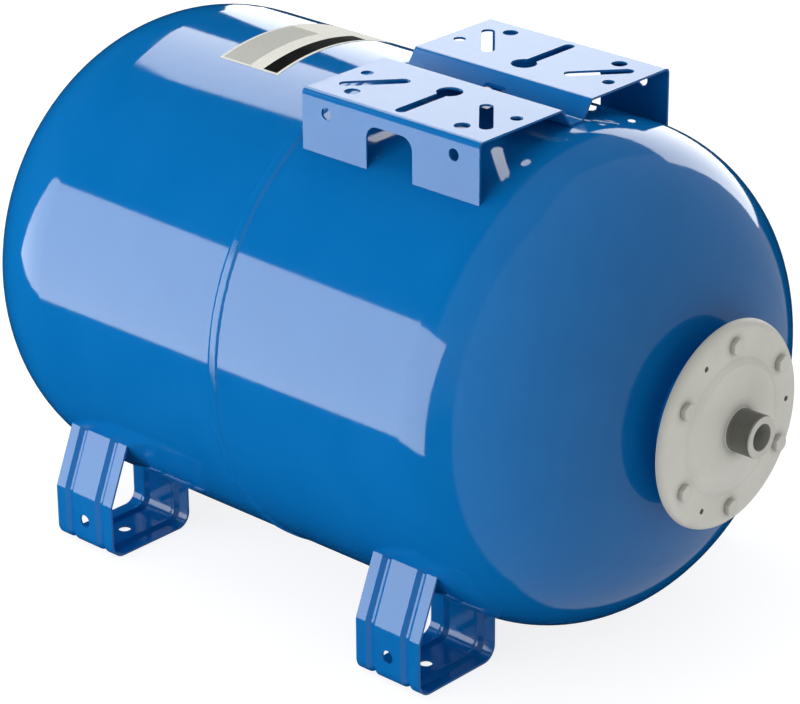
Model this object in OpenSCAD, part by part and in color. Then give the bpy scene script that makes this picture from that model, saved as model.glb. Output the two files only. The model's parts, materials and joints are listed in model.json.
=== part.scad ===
// Horizontal well pressure tank: steel shell with a rubber bladder, four ribbed sheet feet
// and a folded platform for a pump. Millimetres, +Z up.
// The tank axis runs along X, with the water flange at +X and the air valve at -X.
// The origin lies on the floor, in the middle of the four foot bolts.

/* [Shell] */
// Outside diameter of the tank
tank_d = 450; // [430:1:480]
// Length of the straight barrel between the dished heads
barrel_len = 438; // [430:1:480]
// Outside radius of the crown of a dished head
crown_r = 400; // [380:1:420]
// Outside radius of the knuckle between crown and barrel
knuckle_r = 132; // [120:1:140]
// Thickness of the shell steel
shell_t = 1.8; // [1.5:0.1:2.5]
// Distance of the girth seam in front of mid length
seam_x = 5; // [0:1:12]
// Gap under the tank
ground_gap = 10; // [5:1:20]

/* [Girth seam] */
// Width of the weld bead
bead_w = 8; // [6:0.5:10]
// Height of the weld bead above the shell
bead_h = 1.3; // [0.8:0.1:2]
// Opening between the edges of the two half shells
root_gap = 2; // [1:0.5:3]
// Length of the stepped edge that slides into the front half
joggle_len = 14; // [10:1:20]
// Play between the stepped edge and the front half
joggle_gap = 0.2; // [0.1:0.1:0.4]

/* [Neck] */
// Outside diameter of the tapped plate on the neck
neck_d = 162; // [160:1:172]
// Thickness of the tapped plate
neck_plate_t = 7; // [6:0.5:8]
// Diameter of the mouth through the neck ring
mouth_d = 116; // [110:1:118]
// Diameter of the opening in the head
opening_d = 126; // [124:1:130]
// Height of the neck above the head at its opening
neck_h = 19.2; // [18:0.2:22]
// Length of the spigot inside the head
spigot_len = 8; // [6:1:12]
// Play between the spigot and the head
spigot_gap = 0.3; // [0.2:0.1:0.5]
// Leg of the fillet weld round the neck ring
neck_leg = 4; // [3:0.5:5]

/* [Bladder] */
// Diameter of the bag
bag_d = 360; // [320:5:400]
// Overall length of the bag
bag_len = 600; // [560:5:620]
// Outside radius of the crown at each end of the bag
bag_crown_r = 216; // [205:1:260]
// Outside radius of the knuckle at each end of the bag
bag_knuckle_r = 100; // [80:1:120]
// Thickness of the rubber
rubber_t = 2.5; // [2:0.1:3.5]
// Thickness of the clamped lip
lip_t = 4; // [3:0.5:5]
// Outside diameter of the clamped lip
lip_d = 138; // [134:1:138]
// Play between the bladder neck and the neck ring
mouth_gap = 0.4; // [0.2:0.1:0.6]
// Distance from the front of the bag to the face of the neck ring
bag_gap = 34; // [32:1:44]

/* [Flange] */
// Diameter of the flange plate
flange_d = 184; // [182:1:190]
// Thickness of the flange plate
flange_t = 3.5; // [3:0.5:4]
// Outside radius of the turned-down rim
rim_r = 8; // [6:0.5:9]
// Outer diameter of the pressed step
step_d = 122; // [118:1:126]
// Width of the pressed step
step_w = 6; // [5:0.5:8]
// Height of the pressed step
step_h = 3.5; // [2.5:0.5:4.5]
// Diameter of the flat seat for the nipple
seat_d = 56; // [56:1:60]
// Rise of the dished centre between step and seat
dish_h = 4; // [3:0.5:6]
// Pitch circle of the bolts
bolt_pcd = 148; // [148:1:149]
// Number of bolts
bolt_count = 6; // [4:1:8]
// Turn of the first bolt from the side of the tank
bolt_turn = 30; // [0:5:60]
// Thread diameter of the bolts
bolt_d = 8; // [6:1:8]
// Length of the bolts under the head
bolt_len = 16; // [14:1:17]
// Width across the flats of the bolt heads
bolt_af = 13; // [10:1:14]
// Height of the bolt heads
bolt_head_h = 5.3; // [4:0.1:6]
// Diameter of the bolt holes in the flange plate
bolt_hole_d = 9; // [8.5:0.5:9]
// Radial play of the bolts in the neck ring
thread_gap = 0.05; // [0.02:0.01:0.1]
// Pitch circle of the small holes
small_pcd = 150; // [146:1:154]
// Diameter of the small holes
small_d = 5; // [3:0.5:6]
// Number of small holes
small_count = 3; // [1:1:3]

/* [Water nipple] */
// Outside diameter of the pipe thread
nipple_d = 37.9; // [33.25:0.05:42]
// Height of the nipple above its seat
nipple_h = 23.7; // [18:0.1:30]
// Diameter of the water way
bore_d = 23.5; // [20:0.5:26]
// Diameter of the nipple where it passes the flange plate
spigot_d = 39.5; // [38.5:0.5:44]
// Chamfer at the end of the thread
nipple_chamfer = 1; // [0.5:0.1:1.5]
// Diameter of the shoulder behind the flange plate
shoulder_d = 50; // [48:0.5:51]
// Thickness of the shoulder
shoulder_t = 4; // [3:0.5:5]
// Play between the nipple and the flange plate
nipple_gap = 0.15; // [0.1:0.05:0.3]
// Leg of the weld round the shoulder
shoulder_leg = 2.5; // [1.5:0.5:3]

/* [Air valve] */
// Diameter of the steel boss in the rear head
boss_d = 24; // [20:1:28]
// Height of the boss above the rear head
boss_h = 5; // [4:0.5:8]
// Depth of the boss inside the rear head
boss_depth = 8; // [6:0.5:10]
// Leg of the fillet weld round the boss
boss_leg = 3; // [2:0.5:4]
// Diameter of the thread in the boss
valve_root_d = 9.7; // [9:0.1:10.3]
// Width across the flats of the valve body
valve_af = 14; // [12:1:16]
// Height of the hexagon of the valve body
valve_hex_h = 5; // [4:0.5:7]
// Diameter of the valve stem
stem_d = 7.7; // [7.5:0.1:8]
// Height of the valve stem above the hexagon
stem_h = 14; // [12:0.5:16]
// Diameter of the hole in the stem
core_d = 5.2; // [4.8:0.1:5.4]
// Diameter of the pin of the valve core
pin_d = 1.4; // [1.2:0.1:2]
// Outside diameter of the valve cap
cap_d = 10.4; // [10:0.2:12]
// Thickness of the end of the valve cap
cap_end_t = 2; // [1.5:0.5:3]
// Depth of the valve core's guide below the end of the stem
core_drop = 2; // [1:0.5:4]
// Length of the valve core's pin inside the boss
pin_reach = 6; // [4:0.5:7]
// Radial play of the air valve pieces in each other
valve_gap = 0.05; // [0.03:0.01:0.1]

/* [Feet] */
// Distance between the bolt holes along the tank
foot_pitch_x = 380; // [370:1:390]
// Distance between the bolt holes across the tank
foot_pitch_y = 320; // [310:1:330]
// Width of the sheet strip
foot_w = 73; // [66:1:80]
// Thickness of the sheet strip
foot_t = 2; // [1.5:0.5:2.5]
// Outside distance between the two legs of a foot
foot_span = 98; // [90:1:104]
// Outside radius of the bends at the base
foot_bend_r = 14; // [10:1:16]
// Height of the fold in the outer leg
fold_h = 53.5; // [50:0.5:60]
// Outside radius of the fold
fold_r = 9; // [8:0.5:12]
// Lean of the outer leg above the fold
fold_lean = 22.4239; // [20:0.0001:25]
// Width of a pressed groove
groove_w = 11; // [10.4:0.2:11.6]
// Depth of a pressed groove
groove_d = 3; // [2:0.5:3.5]
// Width of each sloping flank of a groove
groove_flank = 4.4; // [4:0.1:4.8]
// Distance of the groove centres from the middle of the strip
groove_c = 20.1; // [18:0.1:22]
// Diameter of the bolt hole in the base
foot_hole_d = 12; // [9:1:13]
// Diameter of the hole in the outer leg
leg_hole_d = 12; // [9:1:13]
// Height of the hole in the outer leg
leg_hole_h = 28; // [25:1:32]

/* [Pump platform] */
// Length of the platform along the tank
plat_len = 200; // [190:1:205]
// Distance of the middle of the platform in front of mid length
plat_x = 117; // [112:1:118]
// Outside width over the two legs
plat_w = 247; // [240:1:254]
// Height of the plates above the crown of the tank
plat_h = 18; // [16:0.5:24]
// Thickness of the sheet
plat_t = 2; // [1.5:0.5:3]
// Outside radius of the folds along the legs
plat_bend_r = 5; // [4:0.5:7]
// Width of the middle channel at the top
channel_w = 37.8; // [36:0.2:44]
// Slope of the channel sides
channel_slope = 55; // [50:1:65]
// Radius of the folds of the channel
channel_r = 3; // [2.5:0.5:4]
// Length of the window in the channel
window_len = 28; // [20:1:40]
// Width of the window in the channel
window_w = 24; // [20:1:28]
// Radius of the window corners
window_r = 5; // [3:0.5:8]
// Width of the notch in each leg
notch_w = 52; // [40:1:60]
// Distance of the notch below the plates
notch_drop = 15; // [12:0.5:20]
// Radius of the notch corners
notch_r = 12; // [8:1:16]

/* [Platform holes] */
// Distance between the small holes along the tank
hole_a_x = 169; // [164:1:174]
// Distance between the small holes across the tank
hole_a_y = 119; // [114:1:122]
// Diameter of the small holes
hole_a_d = 11; // [9:0.5:12]
// Distance between the large holes along the tank
hole_b_x = 124; // [120:1:128]
// Distance between the large holes across the tank
hole_b_y = 204; // [200:1:208]
// Diameter of the large holes
hole_b_d = 14; // [12:0.5:15]
// Distance between the slanted slots along the tank
slot_x = 126; // [122:1:130]
// Distance between the slanted slots across the tank
slot_y = 146; // [142:1:150]
// Width of the slanted slots
slot_w = 12; // [10:0.5:13]
// Length between the end centres of a slanted slot
slot_len = 49; // [44:1:52]
// Angle of the slanted slots to the tank axis
slot_angle = 49; // [45:1:52]
// Distance between the keyhole circles across the tank
key_y = 96; // [92:1:100]
// Diameter of the keyhole circles
key_d = 23; // [20:0.5:26]
// Width of the keyhole slots
key_w = 10.5; // [9:0.5:12]
// Length from a keyhole circle to the far end centre of its slot
key_len = 60; // [54:1:62]
// Distance between the leg holes along the tank
leg_hole_x = 144; // [130:1:160]
// Distance of the leg holes below the plates
leg_hole_drop = 17; // [14:0.5:20]
// Diameter of the leg holes
plat_leg_hole_d = 11; // [9:0.5:12]

/* [Label] */
// Length of the label along the tank
label_len = 72; // [50:1:100]
// Distance of the middle of the label behind mid length
label_x = 109; // [90:1:120]
// Angle that the label covers
label_arc = 38; // [20:1:60]
// Angle from the crown to the near edge of the label
label_near = 16; // [5:1:30]
// Thickness of the label
label_t = 0.2; // [0.1:0.05:0.3]

/* [Hidden] */
$fn = 144;

PAINT = [0.02, 0.42, 0.72];
ZINC = [0.74, 0.74, 0.70];
STEEL = [0.38, 0.39, 0.38];
BRASS = [0.78, 0.62, 0.28];
RUBBER = [0.10, 0.10, 0.11];
CAP = [0.06, 0.06, 0.06];
PAPER = [0.93, 0.91, 0.83];

// Overlap that keeps a cut clear of the face it starts from
cut = 1;
// Flat that a bolt head's chamfer leaves inside its flats
head_flat = 0.3;
// Largest turn between two points of a fold's outline
fold_step = 10;

tank_r = tank_d / 2;
axis_z = tank_r + ground_gap;
crown_z = axis_z + tank_r;
// A size that follows from a curve, to the nearest tenth of a millimetre
function tenth(size) = round(size * 10) / 10;

// Distance of a crown centre from mid length
crown_x = barrel_len / 2 - sqrt(pow(crown_r - knuckle_r, 2) - pow(tank_r - knuckle_r, 2));
pole_x = crown_x + crown_r;

// Distance from mid length to the outside of a head, at a radius inside its knuckle
function head_x(r) = crown_x + sqrt(crown_r * crown_r - r * r);

neck_r = neck_d / 2;
opening_r = opening_d / 2;
neck_tube_r = opening_r - spigot_gap;
neck_face = tenth(head_x(opening_r) + neck_h);
neck_end = tenth(head_x(opening_r) - spigot_len);
flange_under = neck_face + lip_t;
flange_face = flange_under + flange_t;
seat_face = flange_face + step_h + dish_h;
nipple_end = seat_face + nipple_h;
bag_mid = neck_face - bag_gap - bag_len / 2;

boss_face = pole_x + boss_h;
hex_face = boss_face + valve_hex_h;
stem_end = hex_face + stem_h;

plat_z = crown_z + plat_h;

// Placement: a profile's height runs along X, and an outline's x and y become Y and Z
module on_axis() {
    translate([0, 0, axis_z]) rotate([90, 0, 90]) children();
}

module at_rear() {
    on_axis() mirror([0, 0, 1]) children();
}

module around(count, pcd, start = 0) {
    for (i = [0:count - 1])
        rotate(start + i * 360 / count) translate([pcd / 2, 0, 0]) children();
}

module both_sides() {
    children();
    mirror([0, 1, 0]) children();
}

// Half section of a round piece between two radii and two heights
module ring_area(r0, r1, h0, h1) {
    polygon([[r0, h0], [r1, h0], [r1, h1], [r0, h1]]);
}

// Half section of a dished end, filled, from mid length to its pole
module dished_area(r, half_len, crown, knuckle) {
    reach = crown - knuckle;
    drop = sqrt(reach * reach - pow(r - knuckle, 2));
    tangent = asin(drop / reach);
    crown_c = [0, half_len - drop];
    knuckle_c = [r - knuckle, half_len];
    // A point well outside, on the line where crown and knuckle meet
    outer = knuckle_c + crown * [cos(tangent), sin(tangent)];
    ring_area(0, r, 0, half_len);
    intersection() {
        translate(knuckle_c) circle(knuckle);
        ring_area(0, r + cut, half_len, half_len + knuckle + cut);
    }
    intersection() {
        translate(crown_c) circle(crown);
        polygon([crown_c, knuckle_c, outer, crown_c + [0, 3 * crown]]);
    }
}

module tank_area(inset = 0) {
    dished_area(tank_r - inset, barrel_len / 2, crown_r - inset, knuckle_r - inset);
}

module head_wall_area(hole_r) {
    difference() {
        tank_area();
        tank_area(shell_t);
        ring_area(0, hole_r, barrel_len / 2, pole_x + cut);
    }
}

// Outside of the tank as one solid, used to trim what is welded to it
module tank_solid() {
    on_axis() rotate_extrude() {
        tank_area();
        mirror([0, 1]) tank_area();
    }
}

/* Shell */
joggle_drop = shell_t + joggle_gap;
// Where the rear half starts to step in
joggle_start = seam_x - root_gap / 2 - joggle_drop;

module rear_wall_area() {
    step = [[tank_r, 0], [tank_r, joggle_start], [tank_r - joggle_drop, seam_x - root_gap / 2],
            [tank_r - joggle_drop, seam_x + joggle_len]];
    inside = [for (p = backwards(step)) p - [shell_t, 0]];
    mirror([0, 1]) head_wall_area(boss_d / 2);
    polygon(concat(step, inside));
}

module front_wall_area() {
    intersection() {
        head_wall_area(opening_r);
        ring_area(0, tank_r + cut, seam_x + root_gap / 2, pole_x);
    }
}

module shell_rear() {
    color(PAINT) on_axis() rotate_extrude() rear_wall_area();
}

module shell_front() {
    color(PAINT) on_axis() rotate_extrude() front_wall_area();
}

module girth_weld() {
    bead_r = (pow(bead_w / 2, 2) + bead_h * bead_h) / (2 * bead_h);
    front_edge = seam_x + root_gap / 2;
    color(PAINT) on_axis() rotate_extrude() {
        intersection() {
            translate([tank_r + bead_h - bead_r, seam_x]) circle(bead_r);
            ring_area(tank_r, tank_r + bead_h + cut, seam_x - bead_w, seam_x + bead_w);
        }
        // The root fills the gap down to the stepped edge
        polygon([[tank_r - joggle_drop, front_edge - root_gap], [tank_r, joggle_start],
                 [tank_r + bead_h / 4, joggle_start], [tank_r + bead_h / 4, front_edge],
                 [tank_r - joggle_drop, front_edge]]);
    }
}

/* Neck, bladder and flange */
module neck_ring() {
    plate_under = neck_face - neck_plate_t;
    inner = mouth_d / 2;
    color(PAINT) on_axis() difference() {
        rotate_extrude() polygon([[inner, neck_end], [neck_tube_r, neck_end],
                                  [neck_tube_r, plate_under], [neck_r, plate_under],
                                  [neck_r, neck_face], [inner, neck_face]]);
        around(bolt_count, bolt_pcd, bolt_turn) translate([0, 0, plate_under - cut])
            cylinder(d = bolt_d, h = neck_plate_t + 2 * cut);
    }
}

// Fillet round a boss or tube that stands on a head, its foot along the head's surface
module head_fillet_area(r, leg) {
    // How far the arc of the head rises above its chord under the fillet
    rise = leg * leg / (8 * crown_r) + 0.001;
    polygon([[r, head_x(r) + rise], [r + leg, head_x(r + leg) + rise], [r, head_x(r) + leg]]);
}

module neck_weld() {
    color(PAINT) on_axis() rotate_extrude() head_fillet_area(neck_tube_r, neck_leg);
}

module bag_area(inset = 0) {
    r = bag_d / 2;
    reach = bag_crown_r - bag_knuckle_r;
    half_len = bag_len / 2 - bag_crown_r + sqrt(reach * reach - pow(r - bag_knuckle_r, 2));
    translate([0, bag_mid]) for (end = [0, 1]) mirror([0, end])
        dished_area(r - inset, half_len, bag_crown_r - inset, bag_knuckle_r - inset);
}

module bladder() {
    neck = mouth_d / 2 - mouth_gap;
    color(RUBBER) on_axis() rotate_extrude() difference() {
        union() {
            bag_area();
            ring_area(0, neck, bag_mid, flange_under);
            ring_area(0, lip_d / 2, neck_face, flange_under);
        }
        bag_area(rubber_t);
        ring_area(0, neck - rubber_t, bag_mid, flange_under + cut);
    }
}

module flange_area() {
    hole = spigot_d / 2 + nipple_gap;
    rim_c = flange_d / 2 - rim_r;
    front = [[hole, seat_face], [seat_d / 2, seat_face],
             [step_d / 2 - step_w, flange_face + step_h], [step_d / 2, flange_face],
             [rim_c, flange_face]];
    back = [for (p = front) p - [0, flange_t]];
    polygon(concat(back, backwards(front)));
    intersection() {
        translate([rim_c, flange_face - rim_r]) difference() {
            circle(rim_r);
            circle(rim_r - flange_t);
        }
        ring_area(rim_c, flange_d / 2 + cut, flange_face - rim_r, flange_face + cut);
    }
}

module flange_plate() {
    through = flange_t + 2 * cut;
    color(ZINC) on_axis() difference() {
        rotate_extrude() flange_area();
        translate([0, 0, flange_under - cut]) {
            around(bolt_count, bolt_pcd, bolt_turn) cylinder(d = bolt_hole_d, h = through);
            around(small_count, small_pcd) cylinder(d = small_d, h = through);
        }
    }
}

module water_nipple() {
    seat_under = seat_face - flange_t;
    color(STEEL) on_axis() rotate_extrude() difference() {
        union() {
            ring_area(bore_d / 2, nipple_d / 2, seat_under, nipple_end);
            ring_area(bore_d / 2, spigot_d / 2, seat_under - cut, seat_face);
            ring_area(bore_d / 2, shoulder_d / 2, seat_under - shoulder_t, seat_under);
        }
        polygon([[nipple_d / 2 - nipple_chamfer, nipple_end],
                 [nipple_d / 2 + cut, nipple_end + cut],
                 [nipple_d / 2 + cut, nipple_end - nipple_chamfer - cut]]);
    }
}

module nipple_weld() {
    r = shoulder_d / 2;
    seat_under = seat_face - flange_t;
    color(STEEL) on_axis() rotate_extrude()
        polygon([[r, seat_under], [r, seat_under - shoulder_leg], [r + shoulder_leg, seat_under]]);
}

// Hexagon head with its chamfered corners, standing on height 0
module hex_head(af, h) {
    corner_r = af / 2 / cos(30);
    intersection() {
        cylinder(r = corner_r, h = h, $fn = 6);
        rotate_extrude() polygon([[0, 0], [corner_r, 0], [corner_r, h - (corner_r - af / 2) / 2],
                                  [af / 2 - head_flat, h], [0, h]]);
    }
}

module flange_bolts() {
    color(ZINC) on_axis() around(bolt_count, bolt_pcd, bolt_turn) translate([0, 0, flange_face]) {
        hex_head(bolt_af, bolt_head_h);
        translate([0, 0, -bolt_len]) cylinder(d = bolt_d - 2 * thread_gap, h = bolt_len);
    }
}

/* Air valve in the rear head */
module valve_boss() {
    color(PAINT) at_rear() rotate_extrude()
        ring_area(valve_root_d / 2, boss_d / 2, pole_x - boss_depth, boss_face);
}

module boss_weld() {
    color(PAINT) at_rear() rotate_extrude() head_fillet_area(boss_d / 2, boss_leg);
}

module air_valve() {
    color(BRASS) at_rear() difference() {
        union() {
            translate([0, 0, boss_face]) hex_head(valve_af, valve_hex_h);
            rotate_extrude() {
                ring_area(0, valve_root_d / 2 - valve_gap, pole_x - boss_depth / 2, boss_face);
                ring_area(0, stem_d / 2, hex_face, stem_end);
            }
        }
        translate([0, 0, pole_x - boss_depth]) cylinder(d = core_d, h = stem_end - pole_x + boss_depth + cut);
    }
}

module valve_core() {
    color(BRASS) at_rear() rotate_extrude() {
        ring_area(0, core_d / 2 - valve_gap, boss_face, stem_end - core_drop);
        ring_area(0, pin_d / 2, boss_face - pin_reach, stem_end - core_drop / 4);
    }
}

module valve_cap() {
    inner_r = stem_d / 2 + valve_gap;
    color(CAP) at_rear() rotate_extrude() difference() {
        ring_area(0, cap_d / 2, hex_face + valve_gap, stem_end + valve_gap + cap_end_t);
        ring_area(0, inner_r, hex_face, stem_end + valve_gap);
    }
}

/* Folded sheet */
// A section has x across the strip and y through the sheet, from its outer face inward.
// A run is [straight length, bend angle, radius of the outer face in the bend].
// A positive angle bends the sheet towards its inner face.
module sheet_bend(section, angle, radius) {
    side = sign(angle);
    translate([0, side * radius, 0])
        rotate([90, 0, -side * 90])
            rotate_extrude(angle = abs(angle))
                polygon([for (p = section) [radius - side * p.y, p.x]]);
}

module past_bend(angle, radius) {
    side = sign(angle);
    translate([0, side * radius, 0]) rotate([-angle, 0, 0]) translate([0, -side * radius, 0])
        children();
}

module sheet(section, runs, i = 0) {
    run = runs[i];
    linear_extrude(run[0]) polygon(section);
    if (i < len(runs) - 1) translate([0, 0, run[0]]) {
        sheet_bend(section, run[1], run[2]);
        past_bend(run[1], run[2]) sheet(section, runs, i + 1);
    }
}

function backwards(points) = [for (i = [len(points) - 1:-1:0]) points[i]];

// Length that a bend takes from the straight on each side of it
function setback(angle, radius) = radius * tan(abs(angle) / 2);

/* Feet */
function groove(c) = [
    [c - groove_w / 2, 0], [c - groove_w / 2 + groove_flank, groove_d],
    [c + groove_w / 2 - groove_flank, groove_d], [c + groove_w / 2, 0]
];

function foot_section() =
    let (outer = concat([[-foot_w / 2, 0]], groove(-groove_c), groove(groove_c), [[foot_w / 2, 0]]))
    concat(outer, [for (p = backwards(outer)) p + [0, foot_t]]);

// A foot stands on the floor around its bolt hole, with its outer leg towards -Y
module foot_strip() {
    base = foot_span / 2 - foot_bend_r;
    leg = fold_h - foot_bend_r - setback(fold_lean, fold_r);
    section = foot_section();
    // Long enough to run into the shell, which trims the legs
    past_shell = tank_r / 3;
    rotate([90, 0, 0])
        sheet(section, [[base, 90, foot_bend_r], [leg, fold_lean, fold_r], [past_shell, 0, 0]]);
    mirror([0, 1, 0]) rotate([90, 0, 0])
        sheet(section, [[base, 90, foot_bend_r], [past_shell, 0, 0]]);
}

module foot(end, side) {
    x = end * foot_pitch_x / 2;
    color(PAINT) difference() {
        translate([x, side * foot_pitch_y / 2, 0]) mirror([0, side > 0 ? 1 : 0, 0]) difference() {
            foot_strip();
            translate([0, 0, -cut]) cylinder(d = foot_hole_d, h = foot_bend_r + cut);
            translate([0, 0, leg_hole_h]) rotate([90, 0, 0])
                cylinder(d = leg_hole_d, h = foot_span);
        }
        tank_solid();
    }
}

module foot_front_near() { foot(1, -1); }
module foot_front_far() { foot(1, 1); }
module foot_rear_near() { foot(-1, -1); }
module foot_rear_far() { foot(-1, 1); }

/* Pump platform */
module slot_area(length, width) {
    translate([-length / 2, -width / 2]) square([length, width]);
    for (x = [-1, 1]) translate([x * length / 2, 0]) circle(d = width);
}

module rounded_area(length, width, radius) {
    square([length - 2 * radius, width], center = true);
    square([length, width - 2 * radius], center = true);
    for (x = [-1, 1], y = [-1, 1])
        translate([x * (length / 2 - radius), y * (width / 2 - radius)]) circle(radius);
}

// Points along one face of a folded sheet, which starts at a point and runs straight, then bends.
// A run is [length, bend angle, radius of the outer face], and depth is how far the face lies inward.
function fold_line(runs, depth, start, heading, i = 0) =
    let (
        along = [cos(heading), sin(heading)],
        inward = [along.y, -along.x],
        end = start + runs[i][0] * along,
        angle = runs[i][1],
        side = sign(angle),
        centre = end + side * runs[i][2] * inward,
        steps = ceil(abs(angle) / fold_step)
    )
    i == len(runs) - 1 ? [start + depth * inward, end + depth * inward] :
    concat([start + depth * inward], [for (k = [0:steps - 1])
            let (turn = heading + side * 90 - angle * k / steps)
            centre + (runs[i][2] - side * depth) * [cos(turn), sin(turn)]],
        fold_line(runs, depth, centre + runs[i][2] * [cos(heading + side * 90 - angle),
            sin(heading + side * 90 - angle)], heading - angle, i + 1));

// Outline of the folded sheet across the tank, from one leg to the other
module platform_area() {
    drop = plat_h - plat_t;
    floor_w = channel_w / 2 - drop / tan(channel_slope);
    fold = setback(channel_slope, channel_r);
    leg = plat_h + tank_r - sqrt(pow(tank_r, 2) - pow(plat_w / 2, 2));
    runs = [
        [leg, 90, plat_bend_r],
        [plat_w / 2 - channel_w / 2 - plat_bend_r - fold, channel_slope, channel_r],
        [drop / sin(channel_slope) - 2 * fold, -channel_slope, channel_r],
        [floor_w - fold, 0, 0]
    ];
    start = [-plat_w / 2, plat_z - leg - plat_bend_r];
    outer = fold_line(runs, 0, start, 90);
    inner = fold_line(runs, plat_t, start, 90);
    across = [for (p = backwards(outer)) [-p.x, p.y]];
    under = [for (p = inner) [-p.x, p.y]];
    polygon(concat(outer, across, under, backwards(inner)));
}

// Everything cut through the plate and leg of one half, on the -Y side
module platform_cuts() {
    leg_y = plat_w / 2;
    translate([0, 0, plat_z - plat_t - cut]) linear_extrude(plat_t + 2 * cut) {
        for (x = [-1, 1]) {
            translate([x * hole_a_x / 2, -hole_a_y / 2]) circle(d = hole_a_d);
            translate([x * hole_b_x / 2, -hole_b_y / 2]) circle(d = hole_b_d);
            translate([x * slot_x / 2, -slot_y / 2]) rotate(x * -slot_angle) slot_area(slot_len, slot_w);
        }
        translate([0, -key_y / 2]) circle(d = key_d);
        translate([0, -key_y / 2 - key_len / 2]) rotate(90) slot_area(key_len, key_w);
    }
    translate([0, -leg_y + plat_bend_r, 0]) rotate([90, 0, 0]) linear_extrude(plat_bend_r + cut) {
        for (x = [-1, 1])
            translate([x * leg_hole_x / 2, plat_z - leg_hole_drop]) circle(d = plat_leg_hole_d);
        translate([0, (axis_z + plat_z - notch_drop) / 2])
            rounded_area(notch_w, plat_z - notch_drop - axis_z, notch_r);
    }
}

module pump_platform() {
    color(PAINT) difference() {
        translate([plat_x, 0, 0]) difference() {
            translate([-plat_len / 2, 0, 0]) rotate([90, 0, 90]) linear_extrude(plat_len) platform_area();
            both_sides() platform_cuts();
            translate([0, 0, crown_z - cut]) linear_extrude(plat_h)
                rounded_area(window_len, window_w, window_r);
        }
        tank_solid();
    }
}

/* Label */
module label() {
    color(PAPER) on_axis() translate([0, 0, -label_x - label_len / 2])
        rotate(90 + label_near - label_arc)
            rotate_extrude(angle = label_arc)
                ring_area(tank_r, tank_r + label_t, 0, label_len);
}

shell_rear();
shell_front();
girth_weld();
neck_ring();
neck_weld();
bladder();
flange_plate();
water_nipple();
nipple_weld();
flange_bolts();
valve_boss();
boss_weld();
air_valve();
valve_core();
valve_cap();
pump_platform();
foot_front_near();
foot_front_far();
foot_rear_near();
foot_rear_far();
label();
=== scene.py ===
import json
import math

import bmesh
import bpy
from mathutils import Matrix, Vector
from mathutils.noise import noise as noise_value


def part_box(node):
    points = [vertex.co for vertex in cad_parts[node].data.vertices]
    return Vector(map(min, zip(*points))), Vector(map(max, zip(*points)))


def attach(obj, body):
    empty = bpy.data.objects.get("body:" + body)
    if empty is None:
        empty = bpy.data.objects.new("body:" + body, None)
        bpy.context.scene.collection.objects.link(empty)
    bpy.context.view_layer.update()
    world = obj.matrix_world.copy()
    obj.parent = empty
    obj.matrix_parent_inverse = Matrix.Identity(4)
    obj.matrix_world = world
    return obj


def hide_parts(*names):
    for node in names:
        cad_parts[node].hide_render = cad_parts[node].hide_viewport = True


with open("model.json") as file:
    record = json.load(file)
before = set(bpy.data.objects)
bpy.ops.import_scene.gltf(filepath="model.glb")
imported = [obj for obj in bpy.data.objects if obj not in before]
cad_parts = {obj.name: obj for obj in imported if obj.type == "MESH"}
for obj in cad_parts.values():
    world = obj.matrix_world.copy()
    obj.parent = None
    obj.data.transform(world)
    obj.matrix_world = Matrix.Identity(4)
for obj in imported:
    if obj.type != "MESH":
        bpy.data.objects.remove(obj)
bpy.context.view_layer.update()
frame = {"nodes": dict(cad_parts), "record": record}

# The tank's places, taken from the frame. All lengths are in metres
SHELL_LOW, SHELL_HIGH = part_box("shell_front")
AXIS_Z = (SHELL_LOW.z + SHELL_HIGH.z) / 2
TANK_R = (SHELL_HIGH.z - SHELL_LOW.z) / 2


# Camera, solved from the photograph
PHOTO_WIDTH, PHOTO_HEIGHT = 800, 704
FOCAL_PIXELS = 3371.165
LENS_AXIS_PIXEL = (409.117, 363.985)
SENSOR_WIDTH = 36.0  # millimetres
CAMERA_PLACE = (1.9044, -2.0464, 1.4450)
CAMERA_RIGHT = (0.7379, 0.6749, -0.0045)
CAMERA_BACK = (0.6158, -0.6705, 0.4139)


def placed(centre, right, up, back):
    """Matrix that puts a camera or light at a place, looking away from back."""
    return Matrix.Translation(centre) @ Matrix((right, up, back)).transposed().to_4x4()


def make_camera():
    data = bpy.data.cameras.new("camera")
    cam = bpy.data.objects.new("camera", data)
    bpy.context.scene.collection.objects.link(cam)
    right = Vector(CAMERA_RIGHT).normalized()
    back = Vector(CAMERA_BACK).normalized()
    up = back.cross(right).normalized()
    cam.matrix_world = placed(CAMERA_PLACE, right, up, right.cross(up).normalized())
    data.sensor_fit = "HORIZONTAL"
    data.sensor_width = SENSOR_WIDTH
    data.lens = FOCAL_PIXELS / PHOTO_WIDTH * SENSOR_WIDTH
    data.shift_x = (PHOTO_WIDTH / 2 - LENS_AXIS_PIXEL[0]) / PHOTO_WIDTH
    data.shift_y = (LENS_AXIS_PIXEL[1] - PHOTO_HEIGHT / 2) / PHOTO_WIDTH
    data.clip_start, data.clip_end = 0.05, 60
    bpy.context.scene.camera = cam


# Building blocks of the materials
def new_material(name):
    mat = bpy.data.materials.new(name)
    mat.use_nodes = True
    return mat, mat.node_tree


def feed(tree, source, socket):
    """Gives a socket what another socket puts out, a colour or a number."""
    if isinstance(source, bpy.types.NodeSocket):
        tree.links.new(source, socket)
    elif isinstance(source, tuple):
        socket.default_value = (*source, 1)
    else:
        socket.default_value = source


def maths(tree, operation, first, second):
    node = tree.nodes.new("ShaderNodeMath")
    node.operation = operation
    feed(tree, first, node.inputs[0])
    feed(tree, second, node.inputs[1])
    return node.outputs["Value"]


def mixed(tree, share, first, second, how="MIX"):
    """A colour between two others, or their product where how is MULTIPLY."""
    node = tree.nodes.new("ShaderNodeMix")
    node.data_type = "RGBA"
    node.blend_type = how
    feed(tree, share, node.inputs["Factor"])
    feed(tree, first, node.inputs["A"])
    feed(tree, second, node.inputs["B"])
    return node.outputs["Result"]


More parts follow.
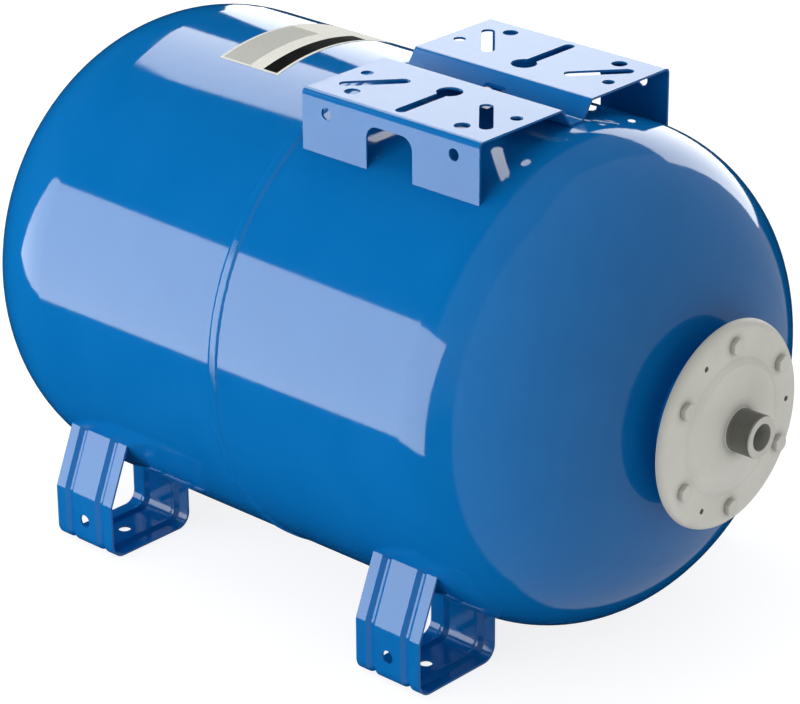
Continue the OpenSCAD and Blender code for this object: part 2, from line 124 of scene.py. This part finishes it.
def axis_value(tree, axis):
    """One object coordinate, in metres."""
    place = tree.nodes.new("ShaderNodeTexCoord")
    split = tree.nodes.new("ShaderNodeSeparateXYZ")
    tree.links.new(place.outputs["Object"], split.inputs["Vector"])
    return split.outputs[axis]


def noise(tree, scale, detail=2.0):
    """A cloudy value from 0 to 1 that lies mostly between 0.3 and 0.7."""
    place = tree.nodes.new("ShaderNodeTexCoord")
    tex = tree.nodes.new("ShaderNodeTexNoise")
    tex.inputs["Scale"].default_value = scale
    tex.inputs["Detail"].default_value = detail
    tree.links.new(place.outputs["Object"], tex.inputs["Vector"])
    return tex.outputs["Fac"]


def spread(tree, source, low, high, start=0.3, end=0.7, curve="LINEAR"):
    """Runs from low to high while the source runs from start to end."""
    ranged = tree.nodes.new("ShaderNodeMapRange")
    ranged.interpolation_type = curve
    feed(tree, source, ranged.inputs["Value"])
    feed(tree, start, ranged.inputs["From Min"])
    feed(tree, end, ranged.inputs["From Max"])
    feed(tree, low, ranged.inputs["To Min"])
    feed(tree, high, ranged.inputs["To Max"])
    return ranged.outputs["Result"]


def ramp(tree, source, stops):
    """Bare fields of colour side by side, each from its own start."""
    node = tree.nodes.new("ShaderNodeValToRGB")
    band = node.color_ramp
    band.interpolation = "CONSTANT"
    for index, (start, colour) in enumerate(stops):
        element = band.elements[index] if index < 2 else band.elements.new(start)
        element.position = start
        element.color = (*colour, 1)
    tree.links.new(source, node.inputs["Fac"])
    return node.outputs["Color"]


def bump(tree, height, distance, normal=None):
    node = tree.nodes.new("ShaderNodeBump")
    node.inputs["Strength"].default_value = 1.0
    node.inputs["Distance"].default_value = distance
    tree.links.new(height, node.inputs["Height"])
    if normal is not None:
        tree.links.new(normal, node.inputs["Normal"])
    return node.outputs["Normal"]


def edge_round(tree, radius):
    node = tree.nodes.new("ShaderNodeBevel")
    node.samples = 4
    node.inputs["Radius"].default_value = radius
    return node.outputs["Normal"]


def paint_corner_shade(tree, colour, reach, darkest=0.45):
    """Painted shade: darkens a colour in inside corners, where the ambient occlusion node finds little open
    sky.
    """
    open_sky = tree.nodes.new("ShaderNodeAmbientOcclusion")
    open_sky.samples = 8
    open_sky.inputs["Distance"].default_value = reach
    unshaded_share = spread(tree, open_sky.outputs["AO"], low=darkest, high=1.0, start=0.35, end=0.95)
    return mixed(tree, 1.0, colour, unshaded_share, "MULTIPLY")


# Finishes: two colours and two roughnesses that each one drifts between, the height and the
# fineness of its relief, the radius that softens its edges and the reach of the painted shade in corners
FINISHES = {
    "tank_paint": dict(low=(0.0015, 0.150, 0.455), high=(0.003, 0.160, 0.475),
                       rough=(0.05, 0.08), peel=0.00001, peel_scale=260),
    "sheet_paint": dict(low=(0.002, 0.150, 0.455), high=(0.004, 0.162, 0.475),
                        rough=(0.10, 0.16), peel=0.00002, peel_scale=300, edge=0.0003),
    "flange_zinc": dict(low=(0.66, 0.65, 0.59), high=(0.74, 0.73, 0.67),
                        rough=(0.42, 0.55), peel=0.00004, peel_scale=700, edge=0.0003, corner_shade_reach=0.008),
    "bolt_zinc": dict(low=(0.62, 0.61, 0.56), high=(0.70, 0.69, 0.63),
                      rough=(0.35, 0.45), peel=0.00003, peel_scale=900, edge=0.0004, corner_shade_reach=0.008),
    "nipple_steel": dict(low=(0.60, 0.59, 0.54), high=(0.68, 0.67, 0.61),
                         rough=(0.35, 0.48), peel=0.00002, peel_scale=1200, edge=0.0003),
    "thread_steel": dict(low=(0.165, 0.165, 0.145), high=(0.22, 0.22, 0.19),
                         rough=(0.40, 0.52), peel=0.00002, peel_scale=900),
    # A darker copy of nipple_steel: painted shade in the nipple's bore and on its mouth chamfer
    "painted_shade_bore_steel": dict(low=(0.36, 0.36, 0.33), high=(0.46, 0.46, 0.42),
                       rough=(0.40, 0.52), peel=0.00002, peel_scale=900),
    "valve_brass": dict(low=(0.60, 0.42, 0.17), high=(0.66, 0.48, 0.22),
                        rough=(0.22, 0.32), peel=0.00001, peel_scale=900, edge=0.0003, metallic=1.0),
    "cap_plastic": dict(low=(0.020, 0.020, 0.020), high=(0.035, 0.035, 0.035),
                        rough=(0.40, 0.50), peel=0.00002, peel_scale=900, edge=0.0003),
    "bladder_rubber": dict(low=(0.020, 0.020, 0.020), high=(0.035, 0.035, 0.035),
                           rough=(0.55, 0.7), peel=0.00005, peel_scale=500),
}
CLOUD_SCALE, FINE_SCALE = 18.0, 108.0  # fineness of the drift in colour and in roughness


def surface(name, low, high, rough, peel, peel_scale, edge=0.0, corner_shade_reach=0.0, metallic=0.0):
    """The material of one row of FINISHES."""
    mat, tree = new_material(name)
    shader = tree.nodes["Principled BSDF"]
    cloud = spread(tree, noise(tree, CLOUD_SCALE, detail=3.0), 0.0, 1.0)
    colour = mixed(tree, cloud, low, high)
    # Painted shade: where a reach is given, the colour darkens in inside corners and round bolt heads
    if corner_shade_reach:
        colour = paint_corner_shade(tree, colour, corner_shade_reach)
    tree.links.new(colour, shader.inputs["Base Color"])
    fine = noise(tree, FINE_SCALE, detail=3.0)
    tree.links.new(spread(tree, fine, *rough), shader.inputs["Roughness"])
    shader.inputs["Metallic"].default_value = metallic
    rounded = edge_round(tree, edge) if edge else None
    skin = noise(tree, peel_scale, detail=1.5)
    tree.links.new(bump(tree, skin, peel, rounded), shader.inputs["Normal"])
    return mat


# Label: the colours of its fields, and where they start as shares of its length along the tank
# and of its reach round the tank
PAPER, BLOCK, BAND = (0.94, 0.935, 0.865), (0.61, 0.61, 0.565), (0.006, 0.006, 0.0065)
BLOCK_START, BLOCK_END, BAND_START, BAND_END = 0.035, 0.50, 0.72, 0.955
PRINT_START, BLOCK_SIDE, PRINT_END = 0.012, 0.62, 0.80
NONE, ALL = (0, 0, 0), (1, 1, 1)


def label_print():
    """Printed foil: a grey block, a cream field and a black band in a pale border, with no lettering."""
    mat, tree = new_material("label_foil")
    shader = tree.nodes["Principled BSDF"]
    low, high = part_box("label")
    along = spread(tree, axis_value(tree, "X"), 0.0, 1.0, low.x, high.x)
    around = spread(tree, axis_value(tree, "Y"), 0.0, 1.0, low.y, high.y)
    band = [(BAND_START, BAND), (BAND_END, PAPER)]
    near = ramp(tree, along, [(0.0, PAPER), (BLOCK_START, BLOCK), (BLOCK_END, PAPER), *band])
    far = ramp(tree, along, [(0.0, PAPER), *band])
    beyond_block = ramp(tree, around, [(0.0, NONE), (BLOCK_SIDE, ALL)])
    inside = ramp(tree, around, [(0.0, NONE), (PRINT_START, ALL), (PRINT_END, NONE)])
    fields = mixed(tree, inside, PAPER, mixed(tree, beyond_block, near, far))
    grain = spread(tree, noise(tree, scale=900.0), low=0.80, high=1.0)
    tree.links.new(mixed(tree, 1.0, fields, grain, "MULTIPLY"), shader.inputs["Base Color"])
    tree.links.new(spread(tree, noise(tree, scale=60.0), low=0.55, high=0.70), shader.inputs["Roughness"])
    shader.inputs["Specular IOR Level"].default_value = 0.01
    tree.links.new(bump(tree, noise(tree, scale=500.0), distance=0.00001), shader.inputs["Normal"])
    return mat


def materials():
    mats = {name: surface(name, **finish) for name, finish in FINISHES.items()}
    mats["label_foil"] = label_print()
    return mats


def dress(mats):
    """Gives each node of the frame the material that the record names for it."""
    slots = {s["node"]: s["material_slot"] for s in frame["record"]["subparts"]}
    for name, obj in frame["nodes"].items():
        obj.data.materials.clear()
        obj.data.materials.append(mats[slots[name]])


# Meshes that stand for a node
def ring_at(bm, angle, rows):
    """Points of a section, given as (x, r), at one angle round the tank's axis."""
    return [bm.verts.new((x, r * math.cos(angle), AXIS_Z + r * math.sin(angle))) for x, r in rows]


def close_tube(bm, rings, finish_of=None):
    """Faces between rings of points, closed both ways. finish_of gives the finish of a ring's jth face."""
    for k, here in enumerate(rings):
        after = rings[(k + 1) % len(rings)]
        for j in range(len(here)):
            following = (j + 1) % len(here)
            face = bm.faces.new((here[j], here[following], after[following], after[j]))
            face.material_index = finish_of(j) if finish_of else 0
            face.smooth = True
    bmesh.ops.recalc_face_normals(bm, faces=bm.faces)


def finish_piece(bm, name, finishes, node, crease):
    """Turns a built mesh into the piece that stands for a node of the frame."""
    mesh = bpy.data.meshes.new(name)
    bm.to_mesh(mesh)
    bm.free()
    for finish in finishes:
        mesh.materials.append(finish)
    mesh.set_sharp_from_angle(angle=math.radians(crease))
    piece = bpy.data.objects.new(name, mesh)
    bpy.context.scene.collection.objects.link(piece)
    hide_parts(node)
    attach(piece, "root")
    return piece


# Water nipple: its ends and its seat in the flange, taken from the frame, then its radii and its thread
NIPPLE_LOW, NIPPLE_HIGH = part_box("water_nipple")
SHOULDER_BACK, SHOULDER_FRONT = NIPPLE_LOW.x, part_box("nipple_weld")[1].x
SEAT_FACE, NIPPLE_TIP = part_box("flange_plate")[1].x, NIPPLE_HIGH.x
SHOULDER_R = NIPPLE_HIGH.y
SPIGOT_R, SPIGOT_CHAMFER = 0.01975, 0.0003
BORE_R, MOUTH_R, MOUTH_DEPTH, END_RING_R = 0.01175, 0.0121, 0.0004, 0.0168
THREAD_R, THREAD_DEPTH, THREAD_PITCH = 0.01895, 0.00125, 0.002309
PLAIN_FOOT, TIP_CHAMFER = 0.0008, 0.001
THREAD_START = SEAT_FACE + PLAIN_FOOT
THREAD_STEEPNESS = 1.3  # 1 is a plain V, and more leaves a flat crest and root
# The third finish is the nipple's steel darkened as painted shade for the bore and mouth
NIPPLE_FINISHES = ["nipple_steel", "thread_steel", "painted_shade_bore_steel"]
PLAIN, THREADED, BORED = range(3)


def nipple_profile():
    """The section as (x, r) from the end face through bore and shoulder to the foot of the thread."""
    return [(NIPPLE_TIP, END_RING_R), (NIPPLE_TIP, MOUTH_R), (NIPPLE_TIP - MOUTH_DEPTH, BORE_R),
            (SHOULDER_BACK, BORE_R), (SHOULDER_BACK, SHOULDER_R), (SHOULDER_FRONT, SHOULDER_R),
            (SHOULDER_FRONT, SPIGOT_R), (SEAT_FACE - SPIGOT_CHAMFER, SPIGOT_R),
            (SEAT_FACE, SPIGOT_R - SPIGOT_CHAMFER)]


def thread_rows(turn, rows_per_pitch=8):
    """The thread's outline after a share of a turn, as (x, r) from foot to tip."""
    length = NIPPLE_TIP - THREAD_START
    steps = rows_per_pitch * round(length / THREAD_PITCH)
    rows = []
    for k in range(steps + 1):
        x = THREAD_START + length * k / steps
        phase = (x / THREAD_PITCH - turn) % 1.0
        valley = 0.5 + THREAD_STEEPNESS * (0.5 - abs(2 * phase - 1))
        runout = min(1.0, (x - THREAD_START) / THREAD_PITCH)
        r = THREAD_R - THREAD_DEPTH * runout * min(1.0, max(0.0, valley))
        rows.append((x, min(r, THREAD_R - TIP_CHAMFER + (NIPPLE_TIP - x))))
    return rows


def make_nipple(mats, around=144, tip_rows=4, bore_faces=(1, 2)):
    """The water nipple with its pipe thread cut as a helix, which the solid leaves plain."""
    bm = bmesh.new()
    turns = [k / around for k in range(around)]
    rings = [ring_at(bm, 2 * math.pi * turn, nipple_profile() + thread_rows(turn)) for turn in turns]
    thread_faces = range(len(nipple_profile()), len(rings[0]) - tip_rows)
    close_tube(bm, rings, lambda j: THREADED if j in thread_faces else BORED if j in bore_faces else PLAIN)
    finishes = [mats[name] for name in NIPPLE_FINISHES]
    finish_piece(bm, "nipple_threaded", finishes, "water_nipple", crease=35)


# Girth weld: its section as (s, height), with s along the tank and the height above the shell
BEAD_SECTION = [(-0.0082, 0.0), (-0.0052, 0.00110), (-0.0046, 0.00121), (-0.0030, 0.00124),
                (0.0006, 0.00124), (0.0012, 0.00116), (0.0016, 0.00103), (0.0044, -0.0001)]
BEAD_BACK, BEAD_FRONT = BEAD_SECTION[0][0], BEAD_SECTION[-1][0]
SEAM_X = sum(corner.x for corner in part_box("girth_weld")) / 2
BEAD_SHIFT = -0.0006  # how far the place of s = 0 lies from the seam
ROOT_DEPTH, EDGE_SINK = 0.0012, 0.0004
SWAY, JITTER = 0.0002, 0.00015  # how far the bead wanders in long and in short waves
SWELL, PINCH = 0.05, 0.25  # the most that its height and its front flank shrink, as shares
RIPPLE_H, RIPPLE_COLUMNS = 0.00004, 4  # height of a ripple, and how many rings of points it has
RIPPLE_BOW = 0.004  # the s at which a bowed ripple lags by its own length


def bead_height(s):
    """Height of the bead at s along the axis: an even flank on each side of a broad crown."""
    for (s0, h0), (s1, h1) in zip(BEAD_SECTION, BEAD_SECTION[1:]):
        if s <= s1:
            return h0 + (h1 - h0) * (s - s0) / (s1 - s0)
    return BEAD_SECTION[-1][1]


def drift(angle, fineness, seed):
    """Smooth value from -1 to 1 that wanders round the seam and meets itself after a turn."""
    return noise_value(Vector((math.cos(angle), math.sin(angle), 0)) * fineness + Vector((0, 0, seed)))


def make_girth_weld(mats, around=2160, across=34):
    """The round weld between the two shell halves, laid in ripples with a slightly wandering edge."""
    bm = bmesh.new()
    rings = []
    for k in range(around):
        angle = 2 * math.pi * k / around
        middle = SEAM_X + BEAD_SHIFT + SWAY * drift(angle, 9, seed=1) + JITTER * drift(angle, 63, seed=5)
        swell = 1 - SWELL * abs(drift(angle, 36, seed=9))
        narrow = 1 - PINCH * abs(drift(angle, 27, seed=7))
        rows = []
        for j in range(across + 1):
            s = BEAD_BACK + (BEAD_FRONT - BEAD_BACK) * j / across
            ripple = RIPPLE_H * math.cos(2 * math.pi * (k / RIPPLE_COLUMNS + (s / RIPPLE_BOW) ** 2))
            high = -EDGE_SINK if j in (0, across) else bead_height(s) * swell + ripple
            rows.append((middle + (s * narrow if s > 0 else s), TANK_R + high))
        rows += [(SEAM_X + BEAD_FRONT, TANK_R - ROOT_DEPTH), (SEAM_X + BEAD_BACK, TANK_R - ROOT_DEPTH)]
        rings.append(ring_at(bm, angle, rows))
    close_tube(bm, rings)
    finish_piece(bm, "girth_weld_bead", [mats["tank_paint"]], "girth_weld", crease=60)


# Stage: floor, world, tent and lights
def seen_directly(tree):
    """1 for camera, glossy and transmission rays, which see the white background, and 0 for the rest."""
    path = tree.nodes.new("ShaderNodeLightPath")
    shiny = maths(tree, "MAXIMUM", path.outputs["Is Glossy Ray"], path.outputs["Is Transmission Ray"])
    return maths(tree, "MAXIMUM", path.outputs["Is Camera Ray"], shiny)


def matt(tree, grey):
    node = tree.nodes.new("ShaderNodeBsdfDiffuse")
    node.inputs["Color"].default_value = (grey, grey, grey, 1)
    return node.outputs["BSDF"]


def show_either(tree, share, first, second):
    """Makes the material show first where share is 0 and second where it is 1."""
    mix = tree.nodes.new("ShaderNodeMixShader")
    tree.links.new(share, mix.inputs[0])
    tree.links.new(first, mix.inputs[1])
    tree.links.new(second, mix.inputs[2])
    tree.links.new(mix.outputs[0], tree.nodes["Material Output"].inputs["Surface"])


def make_floor(size=14.0, drop=0.0002, shadow_grey=0.30, glow=0.84, bounce_grey=0.92):
    """A floor that the camera sees white with the tank's shadow, and bounced light as plain pale grey."""
    bpy.ops.mesh.primitive_plane_add(size=size, location=(0, 0, -drop))
    floor = bpy.context.object
    floor.name = "floor"
    floor.visible_glossy = False
    mat, tree = new_material("floor")
    light = tree.nodes.new("ShaderNodeEmission")
    light.inputs["Strength"].default_value = glow
    lit = tree.nodes.new("ShaderNodeAddShader")
    tree.links.new(matt(tree, shadow_grey), lit.inputs[0])
    tree.links.new(light.outputs[0], lit.inputs[1])
    show_either(tree, seen_directly(tree), matt(tree, bounce_grey), lit.outputs[0])
    floor.data.materials.append(mat)


def make_world(ambient=0.41, white=1.0):
    world = bpy.data.worlds.new("world")
    bpy.context.scene.world = world
    world.use_nodes = True
    tree = world.node_tree
    back = tree.nodes["Background"]
    back.inputs["Color"].default_value = (1, 1, 1, 1)
    strength = spread(tree, seen_directly(tree), ambient, white, start=0.0, end=1.0)
    tree.links.new(strength, back.inputs["Strength"])


def hem(tree, along, edge, half, rise):
    """A rise of the cloth's sheerness across an edge, where edge and rise are sockets."""
    start, end = maths(tree, "ADD", edge, -half), maths(tree, "ADD", edge, half)
    return spread(tree, along, 0.0, rise, start, end, "SMOOTHSTEP")


def make_tent(radius=14.0, sheer=0.47, early_share=0.55, cloth_grey=0.004):
    """The dark cloth that a studio hangs round glossy paint, seen in reflections only.

    Towards the front it is sheer, so that the white shows through. It gets sheer in one step below
    the tank and in two above it, where early_share is the share of the first."""
    bpy.ops.mesh.primitive_uv_sphere_add(segments=64, ring_count=32, radius=radius, location=(0, 0, AXIS_Z))
    tent = bpy.context.object
    tent.name = "tent"
    tent.visible_camera = tent.visible_diffuse = tent.visible_transmission = tent.visible_shadow = False
    mat, tree = new_material("tent")
    x, y, z = (axis_value(tree, axis) for axis in ("X", "Y", "Z"))
    half, below, above = 0.025 * radius, -0.10 * radius, 0.30 * radius
    early_edge = spread(tree, y, low=-0.36 * radius, high=-0.39 * radius,
                        start=-0.2 * radius, end=0.2 * radius)
    main_edge = spread(tree, y, low=0.08 * radius, high=-0.06 * radius,
                       start=-0.1 * radius, end=0.3 * radius)
    early_rise = spread(tree, z, low=0.0, high=early_share * sheer, start=below, end=above)
    main_rise = spread(tree, z, low=sheer, high=(1 - early_share) * sheer, start=below, end=above)
    early = hem(tree, x, early_edge, half, early_rise)
    main = hem(tree, x, main_edge, half, main_rise)
    gap = tree.nodes.new("ShaderNodeBsdfTransparent")
    show_either(tree, maths(tree, "ADD", early, main), matt(tree, cloth_grey), gap.outputs[0])
    tent.data.materials.append(mat)


def panel(name, centre, right, up, size, radiance, mirrored, only=None):
    """A rectangular softbox whose light leaves towards the tank.

    A mirrored panel shows in reflections and lights nothing matt, and the other kind does the reverse.
    Where only is given, the panel lights just the objects that it names."""
    data = bpy.data.lights.new(name, "AREA")
    data.shape = "RECTANGLE"
    data.size, data.size_y = size
    data.energy = radiance * math.pi * size[0] * size[1]
    right, up = Vector(right).normalized(), Vector(up).normalized()
    back = right.cross(up).normalized()
    if back.dot(Vector((0, 0, AXIS_Z)) - Vector(centre)) > 0:
        right, back = -right, -back
    light = bpy.data.objects.new(name, data)
    light.matrix_world = placed(centre, right, back.cross(right).normalized(), back)
    light.visible_camera = False
    light.visible_diffuse = not mirrored
    light.visible_glossy = mirrored
    if only:
        group = bpy.data.collections.new(name)
        for node in only:
            group.objects.link(bpy.data.objects[node])
        light.light_linking.receiver_collection = group
    bpy.context.scene.collection.objects.link(light)


def make_lights():
    """Panels for the reflections, then fills for the matt part of each surface."""
    platform = ["pump_platform"]
    water_end = ["flange_plate", "flange_bolts", "nipple_weld", "nipple_threaded"]
    meshes = [thing.name for thing in bpy.data.objects if thing.type == "MESH"]
    others = [name for name in meshes if name not in water_end]
    barrel = [name for name in others if name not in platform]
    x_axis, y_axis, z_axis = (1, 0, 0), (0, 1, 0), (0, 0, 1)
    side_right, side_up, side_width = (0.977, -0.200, -0.073), (-0.02, -0.427, 0.904), 1.819
    shine = dict(mirrored=True)
    fill = dict(mirrored=False)

    panel("side_panel", centre=(-0.956, -1.202, 0.452), right=side_right, up=side_up,
          size=(side_width, 1.224), radiance=4.9, only=barrel, **shine)
    panel("side_panel_low", centre=(-0.945, -0.971, -0.036), right=side_right, up=side_up,
          size=(side_width, 0.28), radiance=3.9, only=platform, **shine)
    panel("top_panel", centre=(-3.587, 2.160, 4.483), right=(0.769, 0.388, 0.508),
          up=(-0.21, 0.904, -0.371), size=(2.000, 2.853), radiance=4.6, **shine)
    panel("back_panel", centre=(-3.011, 7.413, 2.500), right=(0.9205, 0.3907, 0), up=z_axis,
          size=(6.95, 5.9), radiance=3.5, **shine)
    panel("plate_panel", centre=(-6.2, 6.3, 4.4), right=(0.73, 0.68, 0), up=(-0.25, 0.25, 0.93),
          size=(2.4, 2.4), radiance=0.25, only=platform, **shine)
    panel("valley_panel", centre=(-2.331, -1.25, 1.94), right=(0.71, -0.70, 0), up=(0.35, 0.35, 0.87),
          size=(1.32, 0.45), radiance=2.4, only=platform, **shine)

    panel("side_fill", centre=(-1.15, -3.4, 0.8), right=x_axis, up=z_axis,
          size=(4.0, 3.0), radiance=2.6, only=others, **fill)
    panel("back_fill", centre=(-0.8, 3.4, 1.0), right=x_axis, up=z_axis,
          size=(4.0, 3.0), radiance=1.4, only=others, **fill)
    panel("rear_fill", centre=(-3.4, 0.0, 0.8), right=y_axis, up=z_axis,
          size=(4.0, 3.0), radiance=2.2, only=others, **fill)
    panel("top_fill", centre=(-0.8, 0.0, 4.0), right=x_axis, up=y_axis,
          size=(4.0, 3.0), radiance=1.1, only=others, **fill)
    panel("front_fill", centre=(3.2, -0.3, 0.9), right=y_axis, up=z_axis,
          size=(2.0, 2.0), radiance=1.55, only=water_end, **fill)


mats = materials()
make_camera()
dress(mats)
make_nipple(mats)
make_girth_weld(mats)
make_floor()
make_world()
make_tent()
make_lights()
bpy.context.scene.view_settings.view_transform = "Standard"
